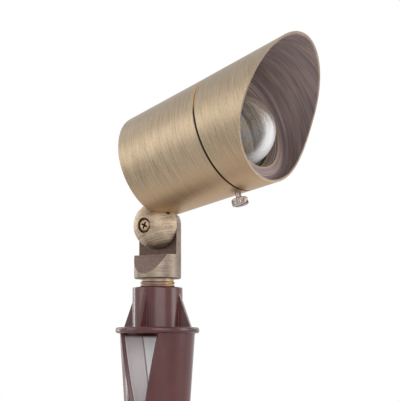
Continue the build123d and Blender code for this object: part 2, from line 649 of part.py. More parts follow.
def make_lamp_base():
    """Ceramic base with a plug that closes the reflector's neck."""
    block = Box(LAMP_BASE_LENGTH, LAMP_BASE_WIDTH, LAMP_BASE_HEIGHT)
    block = Pos((LAMP_BASE_BACK + LAMP_BODY_BACK) / 2, 0, 0) * block
    block = fillet(block.edges().filter_by(Axis.X), LAMP_BASE_ROUND)
    plug = rod_x(LAMP_NECK_RADIUS - LAMP_GLASS_WALL, LAMP_BODY_BACK, LAMP_BODY_BACK + LAMP_PLUG_LENGTH)
    collar = rod_x(LAMP_NECK_RADIUS, LAMP_BODY_BACK - LAMP_COLLAR_LENGTH, LAMP_BODY_BACK)
    return on_head_axis(block + collar + plug)


def make_lamp_pins():
    """The lamp's two contact pins."""
    pins = []
    for side in (-1, 1):
        pin = rod_x(PIN_RADIUS, LAMP_BASE_BACK - PIN_LENGTH, LAMP_BASE_BACK, side=side * PIN_SPACING / 2)
        pins.append(on_head_axis(pin))
    return Compound(children=pins)


def make_lamp_capsule():
    """Small quartz capsule at the reflector's focus."""
    start = LAMP_BODY_BACK + LAMP_PLUG_LENGTH
    end = start + CAPSULE_LENGTH
    capsule = rod_x(CAPSULE_RADIUS, start, end)
    capsule = fillet(capsule.edges().group_by(Axis.X)[-1], CAPSULE_TOP_ROUND)
    return on_head_axis(capsule)


# ---------------------------------------------------------------- shroud, lens and seals
def make_shroud():
    """Hood with its slanted mouth, lens seat, grooved collar and spigot, in one turning."""
    groove_start = SEAL_RING_STATION - SEAL_RING_SECTION / 2 - SEAL_RING_SIDE_PLAY
    groove_end = SEAL_RING_STATION + SEAL_RING_SECTION / 2 + SEAL_RING_SIDE_PLAY
    groove_floor = SPIGOT_RADIUS - SEAL_RING_SECTION
    profile = [
        (SPIGOT_END, SPIGOT_INNER_RADIUS), (SPIGOT_END, SPIGOT_RADIUS), (groove_start, SPIGOT_RADIUS),
        (groove_start, groove_floor), (groove_end, groove_floor), (groove_end, SPIGOT_RADIUS),
        (SEAM_STATION, SPIGOT_RADIUS), (SEAM_STATION, shroud_radius(SEAM_STATION) - SEAM_CHAMFER),
        (SEAM_STATION + SEAM_CHAMFER, shroud_radius(SEAM_STATION + SEAM_CHAMFER)),
        (HOOD_TIP, shroud_radius(HOOD_TIP)), (HOOD_TIP, shroud_radius(HOOD_TIP) - SHROUD_WALL),
        (FLOOR_STATION, shroud_radius(FLOOR_STATION) - SHROUD_WALL), (FLOOR_STATION, COLLAR_RADIUS),
    ]
    profile += collar_points()
    ring_start = LENS_BACK - RING_THICKNESS - RING_THREAD_RUNOUT
    lead_in = RING_THREAD_RADIUS - SPIGOT_INNER_RADIUS
    profile += [
        (LENS_SEAT_FLOOR, LEDGE_RADIUS), (LENS_SEAT_FLOOR, LENS_SEAT_RADIUS),
        (LENS_BACK, LENS_SEAT_RADIUS), (LENS_BACK, RING_THREAD_RADIUS),
        (ring_start, RING_THREAD_RADIUS), (ring_start - lead_in, SPIGOT_INNER_RADIUS),
    ]
    shroud = turned_on_x(profile)
    corner = shroud.edges().filter_by(GeomType.CIRCLE).filter_by(
        lambda edge: abs(edge.center().X - FLOOR_STATION) < 0.01 and edge.radius > COLLAR_RADIUS + 1)
    shroud = fillet(corner, FLOOR_FILLET)
    return on_head_axis(biggest(shroud - mouth_cutter()))


def collar_points():
    """The collar's wall from its mouth to the ledge, with its turned grooves."""
    points = []
    ledge_top = LENS_SEAT_FLOOR + LEDGE_THICKNESS
    pitch = (FLOOR_STATION - ledge_top) / (COLLAR_GROOVES + 0.5)
    slope = (COLLAR_RADIUS - LEDGE_RADIUS) / (FLOOR_STATION - ledge_top)
    for index in range(COLLAR_GROOVES):
        top = FLOOR_STATION - (index + 0.5) * pitch
        radius = COLLAR_RADIUS - slope * (FLOOR_STATION - top)
        points.append((top, radius))
        points.append((top - pitch / 2, radius + COLLAR_GROOVE_DEPTH))
        points.append((top - pitch * 0.9, radius - slope * pitch * 0.9))
    points.append((ledge_top, LEDGE_RADIUS))
    return points


def mouth_cutter():
    """Everything in front of the hood's slanted mouth, which curls towards square below the axis."""
    reach = 3 * REAR_RADIUS
    lean = radians(CUT_ANGLE)
    start = (CUT_STATION + CUT_CURVE_START * tan(lean), CUT_CURVE_START)
    top = (CUT_STATION + reach * tan(lean), reach)
    centre = (start[0] + CUT_CURVE_RADIUS * cos(lean), start[1] - CUT_CURVE_RADIUS * sin(lean))
    middle = on_cut_curve(centre, lean - radians(CUT_CURVE_TURN) / 2)
    end = on_cut_curve(centre, lean - radians(CUT_CURVE_TURN))
    front = HOOD_TIP + reach
    edges = [
        Plane.XZ * Line(top, start),
        Plane.XZ * ThreePointArc(start, middle, end),
        Plane.XZ * Polyline(end, (end[0], -reach), (front, -reach), (front, reach), top),
    ]
    return extrude(make_face(edges), reach, both=True)


def on_cut_curve(centre, lean):
    """The point of the mouth's lower curve where it leans by an angle off square."""
    return (centre[0] - CUT_CURVE_RADIUS * cos(lean), centre[1] + CUT_CURVE_RADIUS * sin(lean))


def make_lens():
    """Domed glass with a flat flange."""
    dome = Pos(LENS_DOME_CENTRE, 0, 0) * Sphere(LENS_DOME_RADIUS)
    front_half = rod_x(2 * LENS_DOME_RADIUS, LENS_DOME_CENTRE, LENS_DOME_CENTRE + 2 * LENS_DOME_RADIUS)
    lens = (dome & front_half) + rod_x(LENS_FLANGE_RADIUS, LENS_BACK, LENS_FRONT)
    lens -= Pos(LENS_DOME_CENTRE, 0, 0) * Sphere(LENS_DOME_RADIUS - LENS_THICKNESS)
    return on_head_axis(lens)


def make_lens_gasket():
    """Flat silicone ring between the lens and the ledge."""
    ring = rod_x(LENS_FLANGE_RADIUS, LENS_FRONT, LENS_SEAT_FLOOR)
    return on_head_axis(ring - rod_x(LEDGE_RADIUS, LENS_FRONT - 1, LENS_SEAT_FLOOR + 1))


def make_lens_ring():
    """Threaded ring that presses the lens forward, with two spanner slots."""
    ring = rod_x(RING_THREAD_RADIUS, LENS_BACK - RING_THICKNESS, LENS_BACK)
    ring -= rod_x(RING_INNER_RADIUS, LENS_BACK - 2 * RING_THICKNESS, LENS_BACK + RING_THICKNESS)
    slot = Box(2 * RING_SLOT_DEPTH, 4 * RING_THREAD_RADIUS, RING_SLOT_WIDTH)
    return on_head_axis(ring - Pos(LENS_BACK - RING_THICKNESS, 0, 0) * slot)


def make_shroud_seal():
    """Round rubber ring in the spigot's groove."""
    section = SEAL_RING_SECTION / 2 - RUNNING_CLEARANCE / 2
    circle = Plane.XZ * Pos(SEAL_RING_STATION, SPIGOT_RADIUS - SEAL_RING_SECTION / 2) * Circle(section)
    return on_head_axis(revolve(circle, Axis.X, 360))


def make_thumb_screw():
    """Knurled and slotted screw that locks the shroud's spigot."""
    surface = -housing_radius(THUMB_STATION)
    tip = -SPIGOT_RADIUS - TIP_GAP
    head_top = surface - THUMB_NECK_LENGTH
    head = rod_z(THUMB_HEAD_RADIUS, head_top - THUMB_HEAD_THICKNESS, head_top)
    head = chamfer(head.edges().filter_by(GeomType.CIRCLE), THUMB_CHAMFER)
    notch_foot = head_top - 2 * THUMB_HEAD_THICKNESS
    notch = rod_z(THUMB_KNURL_DEPTH, notch_foot, head_top + 1, along=THUMB_HEAD_RADIUS)
    for index in range(THUMB_KNURLS):
        head -= Rot(0, 0, index * 360 / THUMB_KNURLS) * notch
    slot = Box(4 * THUMB_HEAD_RADIUS, THUMB_SLOT_WIDTH, 2 * THUMB_SLOT_DEPTH)
    head -= Pos(0, 0, head_top - THUMB_HEAD_THICKNESS) * slot
    screw = head + rod_z(THUMB_SHANK_RADIUS, head_top, tip)
    return on_head_axis(Pos(THUMB_STATION, 0, 0) * screw)


PIECES = {
    "ground_stake": make_ground_stake,
    "knuckle_post": make_knuckle_post,
    "pivot_nut": make_pivot_nut,
    "pivot_washer": make_pivot_washer,
    "knuckle_seal": make_knuckle_seal,
    "pivot_screw": make_pivot_screw,
    "knuckle_arm": make_knuckle_arm,
    "housing": make_housing,
    "lead_grommet": make_lead_grommet,
    "lamp_bracket": make_lamp_bracket,
    "bracket_screws": make_bracket_screws,
    "lamp_socket": make_lamp_socket,
    "socket_rivets": make_socket_rivets,
    "socket_contacts": make_socket_contacts,
    "lamp_reflector": make_lamp_reflector,
    "lamp_cover_glass": make_lamp_cover_glass,
    "lamp_base": make_lamp_base,
    "lamp_pins": make_lamp_pins,
    "lamp_capsule": make_lamp_capsule,
    "shroud": make_shroud,
    "lens": make_lens,
    "lens_gasket": make_lens_gasket,
    "lens_ring": make_lens_ring,
    "shroud_seal": make_shroud_seal,
    "thumb_screw": make_thumb_screw,
}

os.makedirs("parts", exist_ok=True)
for name, make in PIECES.items():
    export_step(make(), f"parts/{name}.step")
    print("wrote", name)
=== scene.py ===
# %% [markdown]
# # A garden spike spotlight, dressed for a photograph
# The pieces come in as finished solids in one shared frame, in metres: cast and turned
# brass, a moulded plastic stake, glass, and the small parts inside the head. Their shapes
# stay as they are. This lesson gives each of them the finish of the real lamp, and then
# sets up a plain studio round them.

# %% Load the frame
import json
from math import cos, pi, radians, sin

import bmesh
import bpy
from mathutils import Matrix, Vector


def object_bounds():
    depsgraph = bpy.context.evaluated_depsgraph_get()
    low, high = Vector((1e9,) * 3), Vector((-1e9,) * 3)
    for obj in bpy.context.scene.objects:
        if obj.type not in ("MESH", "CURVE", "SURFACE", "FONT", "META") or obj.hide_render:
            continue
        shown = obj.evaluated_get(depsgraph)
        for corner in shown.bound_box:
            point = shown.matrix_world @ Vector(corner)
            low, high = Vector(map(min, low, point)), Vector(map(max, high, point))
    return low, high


MM = 0.001

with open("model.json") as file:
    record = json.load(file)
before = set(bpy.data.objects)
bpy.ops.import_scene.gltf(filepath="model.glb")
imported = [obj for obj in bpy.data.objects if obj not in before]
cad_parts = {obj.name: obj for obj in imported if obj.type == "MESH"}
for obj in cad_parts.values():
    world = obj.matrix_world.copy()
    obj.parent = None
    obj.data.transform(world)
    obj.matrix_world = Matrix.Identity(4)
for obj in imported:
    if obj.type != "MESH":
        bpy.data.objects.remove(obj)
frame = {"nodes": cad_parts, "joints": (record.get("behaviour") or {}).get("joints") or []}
solid_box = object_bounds()
pieces = frame["nodes"]
joints = {joint["name"]: joint for joint in frame["joints"]}
box_in_mm = [[round(c / MM, 1) for c in corner] for corner in solid_box]
print("pieces:", len(pieces), "- whole box in mm:", box_in_mm)

# %% [markdown]
# ## Where the lamp head lies
# The head leans back a little, so nothing on it is in line with the world's axes. The joint
# that turns the hood knows the head's true axis, and every brush line on the real head runs
# round that axis. Three directions are enough: along the axis, across it, and above it. A
# station on the head is a number of millimetres along its axis, counted from the point of
# the axis that lies square above the tilt pivot.

# %% The head's own directions
WORLD_X = Vector((1, 0, 0))
WORLD_Y = Vector((0, 1, 0))
WORLD_Z = Vector((0, 0, 1))
PIVOT = Vector(joints["tilt"]["pos_m"])
SEAM_POINT = Vector(joints["hood_turn"]["pos_m"])
ALONG = Vector(joints["hood_turn"]["axis"]).normalized()
ACROSS = WORLD_Y
ABOVE = ALONG.cross(ACROSS).normalized()
SEAM_STATION = (SEAM_POINT - PIVOT).dot(ALONG) / MM
AXIS_START = SEAM_POINT - ALONG * (SEAM_STATION * MM)
print("head axis", [round(c, 3) for c in ALONG])
print("the hood meets the housing at station", round(SEAM_STATION, 1))

# %% [markdown]
# ## Sums with sockets
# A finish is mostly arithmetic: this noise times that mask, plus a little more. Drawing such
# a sum as nodes by hand hides it, so a small class wraps a socket and lets Python's own
# signs add the Math nodes. Every other node comes from one method, which sets its options
# first and then its sockets. Colours and directions have their own Mix and Vector Math.

# %% A wire that can stand in a sum
FLAT_TOP = 0.3


class Wire:
    """One output socket, with Python's signs for the Math nodes."""

    def __init__(self, owner, socket):
        self.owner = owner
        self.socket = socket

    def maths(self, operation, first, second=0.0):
        return self.owner.node("Math", {"operation": operation}, {0: first, 1: second})

    def __add__(self, other):
        return self.maths("ADD", self, other)

    def __sub__(self, other):
        return self.maths("SUBTRACT", self, other)

    def __rsub__(self, other):
        return self.maths("SUBTRACT", other, self)

    def __mul__(self, other):
        return self.maths("MULTIPLY", self, other)

    def __pow__(self, other):
        return self.maths("POWER", self, other)

    def __abs__(self):
        return self.maths("ABSOLUTE", self)

    __radd__ = __add__
    __rmul__ = __mul__

    def between(self, low, high):
        """0 below low, 1 above high and a smooth rise from one to the other."""
        settings = {"interpolation_type": "SMOOTHSTEP"}
        return self.owner.node("MapRange", settings, {"Value": self, "From Min": low, "From Max": high})

    def near(self, value, width):
        """1 at a value and close to it, falling to 0 at width away from it."""
        return 1 - abs(self - value).between(FLAT_TOP * width, width)


# %% A tree of nodes that grows by name
class Nodes:
    """A node tree, with one method that adds any node."""

    def __init__(self, tree):
        self.tree = tree
        self.tree.nodes.clear()

    def node(self, kind, settings=None, inputs=None, output=0):
        """Adds a node, sets its options, feeds its sockets and gives one output as a wire."""
        node = self.tree.nodes.new("ShaderNode" + kind)
        for key, value in (settings or {}).items():
            if key == "stops":
                set_stops(node.color_ramp, value)
            else:
                setattr(node, key, value)
        for key, value in (inputs or {}).items():
            self.feed(node.inputs[key], value)
        return Wire(self, node.outputs[output]) if len(node.outputs) else None

    def feed(self, socket, value):
        """Links a wire to a socket, or writes a plain value into it."""
        if isinstance(value, Wire):
            self.tree.links.new(value.socket, socket)
        elif socket.type == "RGBA" and len(value) == 3:
            socket.default_value = (*value, 1.0)
        else:
            socket.default_value = value


def set_stops(ramp, stops):
    """Puts the colours of a ramp at their places."""
    while len(ramp.elements) < len(stops):
        ramp.elements.new(1.0)
    for element, (place, colour) in zip(ramp.elements, stops):
        element.position = place
        element.color = (*colour, 1.0)


# %% The few nodes that every finish needs
MIX_FIRST, MIX_SECOND, MIX_RESULT = 6, 7, 2     # the sockets of a Mix node that carry colour


class Palette(Nodes):
    """A node tree with short names for mixing, measuring and noise."""

    def blend(self, amount, first, second):
        """The first colour where amount is 0, the second where it is 1."""
        inputs = {0: amount, MIX_FIRST: first, MIX_SECOND: second}
        return self.node("Mix", {"data_type": "RGBA"}, inputs, output=MIX_RESULT)

    def blend_shaders(self, amount, first, second):
        """The first shader where amount is 0, the second where it is 1."""
        return self.node("MixShader", {}, {0: amount, 1: first, 2: second})

    def ramp(self, amount, *stops):
        """Colours at their places from 0 to 1."""
        return self.node("ValToRGB", {"stops": stops}, {0: amount})

    def dot(self, vector, direction):
        settings = {"operation": "DOT_PRODUCT"}
        return self.node("VectorMath", settings, {0: vector, 1: direction}, output="Value")

    def distance(self, vector, other):
        settings = {"operation": "DISTANCE"}
        return self.node("VectorMath", settings, {0: vector, 1: other}, output="Value")

    def point(self, x, y, z):
        return self.node("CombineXYZ", {}, {0: x, 1: y, 2: z})

    def noise(self, place, scale=1.0, detail=2.0, roughness=0.5):
        inputs = {"Vector": place, "Scale": scale, "Detail": detail, "Roughness": roughness}
        return self.node("TexNoise", {}, inputs)

    def seen_by(self, ray):
        """1 for light of one kind, such as Camera or Glossy, and 0 for the rest."""
        return self.node("LightPath", output=f"Is {ray} Ray")


# %% [markdown]
# ## A finish knows its place
# Noise has to be told where it is. The pieces of this lamp were turned on a lathe or
# moulded round an axis, so the useful places are not x, y and z but how far along that
# axis, how far out from it, and how far beside and across it. The places come from the
# piece itself, so a scratch stays where it is when the head tilts.

# %% Places about an axis
class Placed(Palette):
    """One material, with its places in millimetres about a turning axis."""

    def __init__(self, name, start=(0, 0, 0), axis=WORLD_Z, beside=WORLD_Y):
        self.material = bpy.data.materials.new(name)
        self.material.use_nodes = True
        super().__init__(self.material.node_tree)
        start = Vector(start)
        third = axis.cross(beside)
        object_place = self.node("TexCoord", output="Object")
        self.along = (self.dot(object_place, axis) - start.dot(axis)) * (1 / MM)
        self.side = (self.dot(object_place, beside) - start.dot(beside)) * (1 / MM)
        self.rise = (self.dot(object_place, third) - start.dot(third)) * (1 / MM)
        self.spread = (self.side * self.side + self.rise * self.rise) ** 0.5
        self.place = self.point(self.along, self.side, self.rise)
        self.facing = self.node("TexCoord", output="Normal")
        self.faces_along = self.dot(self.facing, axis)

    def where(self, mask, there, elsewhere):
        """One value where the mask is 1, the other where it is 0."""
        return elsewhere * (1 - mask) + there * mask


# %% [markdown]
# ## Scratches, rubbed edges and dents
# A tool leaves its path in metal. On a lathe that path runs round the axis, so a scratch is
# noise whose space is squeezed along the axis and left slow beside it. On a face square to
# the axis the same tool leaves circles, so there the squeezed direction is the distance out
# from the axis. A Bevel node compares a rounded normal with the true one, which finds the
# edges that hands and tools rub, and a Bump node turns any height into small dents.

# %% A finish that shows its tool
BEVEL_SAMPLES = 6
SCRATCH_ROUGHNESS = 0.6
SCRATCH_DEPTH = 0.02


class Finish(Placed):
    """A material with scratches, rubbed edges and dents, which ends in a shader."""

    def scratches(self, across, pitch, wander, detail):
        place = self.point(across * (1 / pitch), self.side * wander, self.rise * wander)
        return self.noise(place, 1.0, detail, SCRATCH_ROUGHNESS)

    def round_lines(self, pitch, wander=0.02, detail=3.0):
        """Scratches round the axis, pitch millimetres apart, that change slowly as they go round."""
        return self.scratches(self.along, pitch, wander, detail)

    def face_lines(self, pitch, wander=0.02, detail=3.0):
        """The same on a face square to the axis, where the scratches are circles."""
        return self.scratches(self.spread, pitch, wander, detail)

    def worn_edges(self, width):
        """Above 0 within a width of an edge, where hands and tools rub a finish away."""
        rounded = self.node("Bevel", {"samples": BEVEL_SAMPLES}, {"Radius": width * MM})
        return 1 - self.dot(rounded, self.node("NewGeometry", output="Normal"))

    def dents(self, height, depth, round_edges=0.0):
        """A normal that moves the surface by depth millimetres where height goes from 0 to 1."""
        inputs = {"Height": height, "Distance": depth * MM, "Strength": 1.0}
        if round_edges:
            inputs["Normal"] = self.node("Bevel", {"samples": BEVEL_SAMPLES}, {"Radius": round_edges * MM})
        return self.node("Bump", {}, inputs)

    def shader(self, **sockets):
        """A Principled shader, with its sockets by name."""
        inputs = {name.replace("_", " "): value for name, value in sockets.items()}
        return self.node("BsdfPrincipled", {}, inputs)

    def shown(self, shader):
        """Ends the tree in a shader and gives the material."""
        self.node("OutputMaterial", {}, {"Surface": shader})
        return self.material

    def surface(self, **sockets):
        return self.shown(self.shader(**sockets))


# %% [markdown]
# ## Colours as a screen shows them
# A colour that is read off a screen is stored unevenly, because eyes tell dark tones apart
# better than light ones. Light itself adds up evenly, so a shader wants the even numbers,
# and one small sum turns one into the other.

# %% From screen levels to light
def screen(red, green, blue):
    """The even numbers for a colour given as screen levels from 0 to 255."""
    def even(level):
        level = level / 255
        return level / 12.92 if level <= 0.04045 else ((level + 0.055) / 1.055) ** 2.4
    return (even(red), even(green), even(blue))


print("a mid brass is", [round(c, 3) for c in screen(160, 138, 106)])

# %% [markdown]
# ## Giving a piece its finish
# A piece keeps its finish in a material slot. The slot that came with the solid is emptied
# and takes the new material, and the mesh isn't touched. A list of the names shows at the
# end whether a piece was forgotten.

# %% Put a finish on a piece
dressed = []


def dress(name, material):
    """Gives a piece one material in place of what it came with."""
    materials = pieces[name].data.materials
    materials.clear()
    materials.append(material)
    dressed.append(name)
    print(name, "wears", material.name, "made of", len(material.node_tree.nodes), "nodes")


# %% [markdown]
# ## The antique brass of the head
# Seen close, the finish is three layers: a brown patina that was rubbed back, so that it
# stays in soft streaks, pale gold where the brush cut through it, and a clear satin lacquer
# over both, which here is only an even roughness. Each scratch is a long thin arc round the
# head's axis. Three sizes of them, fine, middle and broad, stop the eye from finding a
# pattern, and a slow cloud and a small grain break them up. Whatever faces up is greyed as a
# painted reflection of the pale room, and the underside is made golden as painted warm light.

# %% Scratches on the head
FLAT_FROM, FLAT_TO = 0.7, 0.9


class HeadFinish(Finish):
    """A finish about the head's axis, whose places along it are stations."""

    def __init__(self, name):
        super().__init__(name, AXIS_START, ALONG, ACROSS)

    def brushed(self, pitch, wander, detail=3.0):
        """Scratches round the axis, and in circles on the flat rear face."""
        flat = abs(self.faces_along).between(FLAT_FROM, FLAT_TO)
        circles = self.face_lines(pitch, wander, detail)
        return self.where(flat, circles, self.round_lines(pitch, wander, detail))

    def streaks(self):
        """The patina's pattern, from 0 where it is thick to 1 where it is gone."""
        fine = self.brushed(pitch=0.45, wander=0.08)
        middle = self.brushed(pitch=1.1, wander=0.05)
        broad = self.brushed(pitch=5.0, wander=0.03, detail=2.0)
        cloud = self.noise(self.place, scale=0.04, detail=2.0)
        grain = self.noise(self.place, scale=1.2, detail=3.0)
        together = fine * 0.50 + middle * 0.12 + broad * 0.05 + cloud * 0.11 + grain * 0.22
        return together.between(0.20, 0.78)


print("the head's axis starts at", [round(c / MM, 1) for c in AXIS_START], "mm")

# %% The colours of antique brass
BRASS_GOLD = screen(182, 165, 140)
BRASS_MID = screen(154, 137, 114)
BRASS_BROWN = screen(104, 86, 78)
BRASS_PAINTED_TOP_REFLECTION = screen(132, 124, 120)
BRASS_PAINTED_UNDERLIGHT = screen(206, 170, 132)


def brushed_brass(brass):
    """Greyer on top as a painted reflection of the pale room, and more golden underneath as painted warm
    light from below.
    """
    plain = brass.ramp(brass.streaks(), (0.0, BRASS_BROWN), (0.45, BRASS_MID), (1.0, BRASS_GOLD))
    up = brass.dot(brass.facing, WORLD_Z)
    # painted reflection on the top, and painted warm light on the underside
    with_top_reflection = brass.blend(up.between(0.1, 0.9) * 0.30, plain, BRASS_PAINTED_TOP_REFLECTION)
    return brass.blend((up * -1).between(0.3, 1.0) * 0.6, with_top_reflection, BRASS_PAINTED_UNDERLIGHT)


print("patina from", [round(c, 2) for c in BRASS_BROWN], "to", [round(c, 2) for c in BRASS_GOLD])

# %% [markdown]
# ## The housing and its seam
# The hood turns in the housing's mouth, and two small chamfers face each other there. Below
# they are painted dark as painted shade in the groove, and above they are painted as a thin
# gold line, a painted highlight. One mask finds both chamfers, so the housing and the hood
# can share it.

# %% Brushed brass on the housing
SEAM_GAP = 0.5
SEAM_MIDDLE = SEAM_STATION - SEAM_GAP / 2
SEAM_WIDTH = 1.1
SEAM_INNER_RADIUS = 33.5
SEAM_LIT_FROM, SEAM_LIT_TO = 8, 16
SEAM_PAINTED_SHADE = screen(46, 34, 34)
SEAM_PAINTED_HIGHLIGHT = screen(190, 150, 92)


def outer_brass(brass):
    """Brushed brass with the seam's chamfers, painted shade below and a painted highlight above."""
    # painted shade low on the seam, and a painted gold highlight high on it
    edge = brass.blend(brass.rise.between(SEAM_LIT_FROM, SEAM_LIT_TO), SEAM_PAINTED_SHADE, SEAM_PAINTED_HIGHLIGHT)
    outside = brass.spread.between(SEAM_INNER_RADIUS, SEAM_INNER_RADIUS + 1)
    seam = brass.along.near(SEAM_MIDDLE, SEAM_WIDTH) * outside
    return brass.blend(seam, brushed_brass(brass), edge)


def housing_finish():
    brass = HeadFinish("antique_brushed_brass")
    fine = brass.round_lines(0.22)
    rough = 0.48 - fine * 0.10
    normal = brass.dents(fine, SCRATCH_DEPTH)
    return brass.surface(Base_Color=outer_brass(brass), Metallic=1.0, Roughness=rough, Normal=normal)


dress("housing", housing_finish())

# %% [markdown]
# ## Inside the hood
# The hood is one turning with two faces. Outside it matches the housing, and inside it kept
# far more of the dark patina, because a brush reaches there badly. The wall is 1.5 mm thick,
# so how deep a point lies under the outer cone tells which face it is on. The slanted mouth
# was cut last and left bare, and so were the two edges of the grooved collar that the eye
# sees as thin gold rings round the lens. The spigot that runs in the housing is bright from
# the lathe. Painted shade darkens the corner where the inner wall meets the floor, and the
# wall behind the lens, where little light gets in, is painted a dark blue grey as shade.

# %% The faces of the hood
HOOD_SEAM_RADIUS = 36.14
HOOD_TAPER = 0.065
HOOD_WALL = 1.5
MOUTH_START = 83


class HoodFinish(HeadFinish):
    """A head's finish that also tells the hood's inside, mouth, floor and spigot apart."""

    def __init__(self, name):
        super().__init__(name)
        self.depth = HOOD_SEAM_RADIUS + (self.along - SEAM_STATION) * HOOD_TAPER - self.spread
        self.inside = self.depth.between(0.5, 0.9)
        flat = self.faces_along.between(0.6, 0.85)
        in_wall = 1 - self.depth.between(HOOD_WALL, HOOD_WALL + 0.2)
        self.mouth = flat * in_wall * self.along.between(MOUTH_START, MOUTH_START + 1)
        self.floor = flat * (1 - self.mouth)
        self.spigot = 1 - self.along.between(SEAM_STATION - 0.6, SEAM_STATION - 0.3)
        self.fine = self.where(self.floor, self.face_lines(0.35), self.round_lines(0.25))
        self.broad = self.where(self.floor, self.face_lines(1.6), self.round_lines(3.0, 0.03))


mouth_radius = HOOD_SEAM_RADIUS + (MOUTH_START - SEAM_STATION) * HOOD_TAPER
print("the hood is", round(mouth_radius, 1), "mm in radius where its mouth starts")

# %% Bare edges and painted shade in the corner
HOOD_FLOOR = 81.7
COLLAR_MOUTH_RADIUS = 26.6
LEDGE_RADIUS = 24.7
LEDGE_BACK, LEDGE_FRONT = 74.4, 76.3


def bare_edges(brass):
    """1 on the rim and on the collar's two edges, where the cut was left bare."""
    rim = brass.mouth * (1 - brass.depth.between(0.6, 1.1))
    mouth_edge = brass.spread.near(COLLAR_MOUTH_RADIUS + 0.15, 0.45) * brass.along.near(HOOD_FLOOR, 0.5)
    past_back = brass.along.between(LEDGE_BACK, LEDGE_BACK + 0.3)
    past_front = brass.along.between(LEDGE_FRONT - 0.3, LEDGE_FRONT)
    ledge_edge = brass.spread.near(LEDGE_RADIUS, 0.35) * past_back * (1 - past_front)
    return (rim * 0.5 + (mouth_edge + ledge_edge)).between(0, 1)


def corner_painted_shade(brass):
    """1 in the fillet where the inner wall meets the floor, where shade is painted."""
    off_wall = brass.depth.between(HOOD_WALL, HOOD_WALL + 0.3) * (1 - brass.depth.between(3.5, 5.0))
    return off_wall * brass.along.near(HOOD_FLOOR, 4.5)


print("gold rings at", LEDGE_RADIUS, "and", COLLAR_MOUTH_RADIUS, "mm from the axis")

# %% The colours inside the hood
INSIDE_LIGHT = screen(160, 142, 136)
INSIDE_DARK = screen(104, 89, 89)
BARE_BRASS = screen(172, 150, 118)
TURNED_LIGHT = screen(206, 182, 140)
CORNER_PAINTED_SHADE = screen(74, 62, 60)
BEHIND_PAINTED_SHADE_DARK = screen(38, 42, 50)
BEHIND_PAINTED_SHADE_LIGHT = screen(84, 92, 104)
LENS_FOOT = 74
RING_THREAD_RADIUS = 30.5


def hood_colour(brass, bare):
    """The colour of every face, from the outside to the wall behind the lens, with painted shade in the
    floor's corner and on the wall behind the lens.
    """
    tone = (brass.fine * 0.60 + brass.broad * 0.40).between(0.34, 0.70)
    patina = brass.ramp(tone, (0.0, INSIDE_DARK), (1.0, INSIDE_LIGHT))
    turned = brass.blend(brass.fine, BARE_BRASS, TURNED_LIGHT)
    painted_shade_behind = brass.blend(brass.broad, BEHIND_PAINTED_SHADE_DARK, BEHIND_PAINTED_SHADE_LIGHT)
    before_foot = 1 - brass.along.between(LENS_FOOT, LENS_FOOT + 1)
    in_cavity = 1 - brass.spread.between(RING_THREAD_RADIUS - 0.3, RING_THREAD_RADIUS + 0.3)
    colour = brass.blend(brass.inside, outer_brass(brass), patina)
    # painted shade darkens the corner where the inner wall meets the floor
    colour = brass.blend(corner_painted_shade(brass) * 0.5, colour, CORNER_PAINTED_SHADE)
    colour = brass.blend(bare, colour, BARE_BRASS)
    colour = brass.blend(brass.spigot, colour, turned)
    # the wall behind the lens is painted dark blue grey as painted shade
    return brass.blend(before_foot * in_cavity, colour, painted_shade_behind)


print("the inside from", [round(c, 2) for c in INSIDE_DARK], "to", [round(c, 2) for c in INSIDE_LIGHT])

# %% The hood, dark inside and gold at its edges
def hood_finish():
    brass = HoodFinish("antique_brushed_brass_hood")
    bare = bare_edges(brass)
    colour = hood_colour(brass, bare)
    rough = 0.50 - brass.fine * 0.10 + brass.inside * 0.10
    metal = 1 - brass.inside * (1 - bare) * (1 - brass.spigot) * 0.45
    normal = brass.dents(brass.fine, SCRATCH_DEPTH)
    return brass.surface(Base_Color=colour, Metallic=metal, Roughness=rough, Normal=normal)


dress("shroud", hood_finish())

# %% [markdown]
# ## The knuckle's cast brass
# The two halves of the knuckle were cast, tumbled and then touched up on a wheel. Cast
# metal has a fine sandy grain with no direction, and the wheel rubbed every edge to gold.
# The wheel's marks run round the neck of the arm and round the post's own height. The two
# halves share this finish, and only the post goes on to something of its own.

# %% Cast brass on the arm
CAST_LIGHT = screen(204, 186, 158)
CAST_MID = screen(172, 154, 134)
CAST_DARK = screen(104, 90, 80)
EDGE_GOLD = screen(196, 170, 130)


class CastFinish(Finish):
    """Cast brass: a sandy grain under fine wheel marks, and gold on worn edges."""

    def __init__(self, name, start, axis, beside, rough):
        super().__init__(name, start, axis, beside)
        self.sand = self.noise(self.place, scale=1.5, detail=4.0, roughness=0.65)
        self.fine = self.round_lines(0.36, wander=0.06)
        cloud = self.noise(self.place, scale=0.11, detail=2.0)
        worn = self.worn_edges(0.45).between(0.02, 0.22)
        tone = (self.sand * 0.40 + cloud * 0.35 + self.fine * 0.45).between(0.40, 0.82)
        cast = self.ramp(tone, (0.0, CAST_DARK), (0.45, CAST_MID), (1.0, CAST_LIGHT))
        self.colour = self.blend(worn * 0.5, cast, EDGE_GOLD)
        self.rough = rough + self.sand * 0.10 - worn * 0.08


def arm_finish():
    brass = CastFinish("cast_brass_arm", PIVOT, ABOVE, ACROSS, rough=0.54)
    normal = brass.dents(brass.fine + brass.sand * 0.6, SCRATCH_DEPTH)
    return brass.surface(Base_Color=brass.colour, Metallic=1.0, Roughness=brass.rough, Normal=normal)


dress("knuckle_arm", arm_finish())

# %% [markdown]
# ## The post, weathered, with painted shade and painted glints
# The post is darker than the arm, and it weathered face by face. Its slanted relief was
# never polished, so it is pitted and dull. The flat that the arm covers is painted deep brown
# as painted shade under the arm, but for its rubbed edges. The thread below is brown, with
# flecks of gold as painted glints on the side towards the camera's right, and every other
# edge is worn to gold. What tells these places apart is the way they face or their height,
# so that is what each mask asks for.

